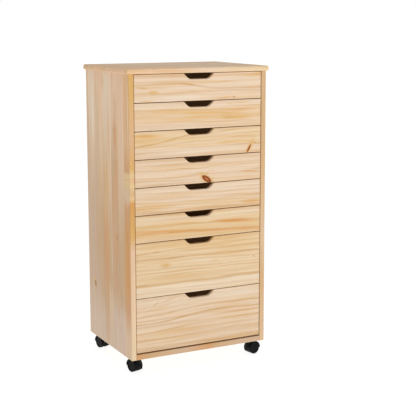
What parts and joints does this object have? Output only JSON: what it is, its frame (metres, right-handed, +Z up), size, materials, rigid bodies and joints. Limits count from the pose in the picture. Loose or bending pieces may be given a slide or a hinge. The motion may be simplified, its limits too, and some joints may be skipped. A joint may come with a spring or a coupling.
{
  "type": "rolling drawer cart",
  "caption": "Tall pine drawer cart on hooded twin-wheel swivel casters, with shallow drawers over deep ones, each with a finger cut-out in its front.",
  "frame": {"origin": "on the floor under the middle of the top panel", "axes": "+Z up, +X to the right seen from the front, +Y from the drawer fronts to the back"},
  "size_m": [0.527, 0.3898, 1.0289],
  "materials": {
    "pine": "natural, clear satin lacquer",
    "pine_inside": "planed, unfinished",
    "plywood": "sanded",
    "black_nylon": "moulded satin",
    "zinc_plated_steel": "zinc plated"
  },
  "bodies": {
    "root": {"top_panel": "pine", "side_panel_left": "pine", "side_panel_right": "pine", "bottom_panel": "pine", "back_panel": "plywood", "rear_top_rail": "pine_inside", "runners_left": "pine_inside", "runners_right": "pine_inside", "caster_front_left_plate": "zinc_plated_steel", "caster_front_left_pin": "zinc_plated_steel", "caster_front_right_plate": "zinc_plated_steel", "caster_front_right_pin": "zinc_plated_steel", "caster_rear_left_plate": "zinc_plated_steel", "caster_rear_left_pin": "zinc_plated_steel", "caster_rear_right_plate": "zinc_plated_steel", "caster_rear_right_pin": "zinc_plated_steel"},
    "drawer_1": {"drawer_1_front": "pine", "drawer_1_box": "pine", "drawer_1_bottom": "plywood"},
    "drawer_2": {"drawer_2_front": "pine", "drawer_2_box": "pine", "drawer_2_bottom": "plywood"},
    "drawer_3": {"drawer_3_front": "pine", "drawer_3_box": "pine", "drawer_3_bottom": "plywood"},
    "drawer_4": {"drawer_4_front": "pine", "drawer_4_box": "pine", "drawer_4_bottom": "plywood"},
    "drawer_5": {"drawer_5_front": "pine", "drawer_5_box": "pine", "drawer_5_bottom": "plywood"},
    "drawer_6": {"drawer_6_front": "pine", "drawer_6_box": "pine", "drawer_6_bottom": "plywood"},
    "drawer_7": {"drawer_7_front": "pine", "drawer_7_box": "pine", "drawer_7_bottom": "plywood"},
    "drawer_8": {"drawer_8_front": "pine", "drawer_8_box": "pine", "drawer_8_bottom": "plywood"},
    "caster_front_left": {"caster_front_left_housing": "black_nylon", "caster_front_left_axle": "zinc_plated_steel"},
    "caster_front_left_wheel_left": {"caster_front_left_wheel_left": "black_nylon"},
    "caster_front_left_wheel_right": {"caster_front_left_wheel_right": "black_nylon"},
    "caster_front_right": {"caster_front_right_housing": "black_nylon", "caster_front_right_axle": "zinc_plated_steel"},
    "caster_front_right_wheel_left": {"caster_front_right_wheel_left": "black_nylon"},
    "caster_front_right_wheel_right": {"caster_front_right_wheel_right": "black_nylon"},
    "caster_rear_left": {"caster_rear_left_housing": "black_nylon", "caster_rear_left_axle": "zinc_plated_steel"},
    "caster_rear_left_wheel_left": {"caster_rear_left_wheel_left": "black_nylon"},
    "caster_rear_left_wheel_right": {"caster_rear_left_wheel_right": "black_nylon"},
    "caster_rear_right": {"caster_rear_right_housing": "black_nylon", "caster_rear_right_axle": "zinc_plated_steel"},
    "caster_rear_right_wheel_left": {"caster_rear_right_wheel_left": "black_nylon"},
    "caster_rear_right_wheel_right": {"caster_rear_right_wheel_right": "black_nylon"}
  },
  "joints": [
    {"name": "drawer_1_slide", "type": "slide", "parent": "root", "child": "drawer_1", "axis": [0, -1, 0], "range_m": [0, 0.24]},
    {"name": "drawer_2_slide", "type": "slide", "parent": "root", "child": "drawer_2", "axis": [0, -1, 0], "range_m": [0, 0.24]},
    {"name": "drawer_3_slide", "type": "slide", "parent": "root", "child": "drawer_3", "axis": [0, -1, 0], "range_m": [0, 0.24]},
    {"name": "drawer_4_slide", "type": "slide", "parent": "root", "child": "drawer_4", "axis": [0, -1, 0], "range_m": [0, 0.24]},
    {"name": "drawer_5_slide", "type": "slide", "parent": "root", "child": "drawer_5", "axis": [0, -1, 0], "range_m": [0, 0.24]},
    {"name": "drawer_6_slide", "type": "slide", "parent": "root", "child": "drawer_6", "axis": [0, -1, 0], "range_m": [0, 0.24]},
    {"name": "drawer_7_slide", "type": "slide", "parent": "root", "child": "drawer_7", "axis": [0, -1, 0], "range_m": [0, 0.24]},
    {"name": "drawer_8_slide", "type": "slide", "parent": "root", "child": "drawer_8", "axis": [0, -1, 0], "range_m": [0, 0.24]},
    {"name": "caster_front_left_swivel", "type": "hinge", "parent": "root", "child": "caster_front_left", "pos_m": [-0.21656, -0.14744, 0.0494], "axis": [0, 0, 1], "continuous": true},
    {"name": "caster_front_left_wheel_left_spin", "type": "hinge", "parent": "caster_front_left", "child": "caster_front_left_wheel_left", "pos_m": [-0.22096, -0.13102, 0.02171], "axis": [-0.9659, -0.2588, 0], "continuous": true},
    {"name": "caster_front_left_wheel_right_spin", "type": "hinge", "parent": "caster_front_left", "child": "caster_front_left_wheel_right", "pos_m": [-0.22096, -0.13102, 0.02171], "axis": [-0.9659, -0.2588, 0], "continuous": true},
    {"name": "caster_front_right_swivel", "type": "hinge", "parent": "root", "child": "caster_front_right", "pos_m": [0.21656, -0.14744, 0.0494], "axis": [0, 0, 1], "continuous": true},
    {"name": "caster_front_right_wheel_left_spin", "type": "hinge", "parent": "caster_front_right", "child": "caster_front_right_wheel_left", "pos_m": [0.23319, -0.14391, 0.02171], "axis": [-0.2079, 0.9781, 0], "continuous": true},
    {"name": "caster_front_right_wheel_right_spin", "type": "hinge", "parent": "caster_front_right", "child": "caster_front_right_wheel_right", "pos_m": [0.23319, -0.14391, 0.02171], "axis": [-0.2079, 0.9781, 0], "continuous": true},
    {"name": "caster_rear_left_swivel", "type": "hinge", "parent": "root", "child": "caster_rear_left", "pos_m": [-0.21656, 0.15094, 0.0494], "axis": [0, 0, 1], "continuous": true},
    {"name": "caster_rear_left_wheel_left_spin", "type": "hinge", "parent": "caster_rear_left", "child": "caster_rear_left_wheel_left", "pos_m": [-0.21951, 0.16769, 0.02171], "axis": [-0.9848, -0.1736, 0], "continuous": true},
    {"name": "caster_rear_left_wheel_right_spin", "type": "hinge", "parent": "caster_rear_left", "child": "caster_rear_left_wheel_right", "pos_m": [-0.21951, 0.16769, 0.02171], "axis": [-0.9848, -0.1736, 0], "continuous": true},
    {"name": "caster_rear_right_swivel", "type": "hinge", "parent": "root", "child": "caster_rear_right", "pos_m": [0.21656, 0.15094, 0.0494], "axis": [0, 0, 1], "continuous": true},
    {"name": "caster_rear_right_wheel_left_spin", "type": "hinge", "parent": "caster_rear_right", "child": "caster_rear_right_wheel_left", "pos_m": [0.2008, 0.15731, 0.02171], "axis": [-0.3746, -0.9272, 0], "continuous": true},
    {"name": "caster_rear_right_wheel_right_spin", "type": "hinge", "parent": "caster_rear_right", "child": "caster_rear_right_wheel_right", "pos_m": [0.2008, 0.15731, 0.02171], "axis": [-0.3746, -0.9272, 0], "continuous": true}
  ]
}
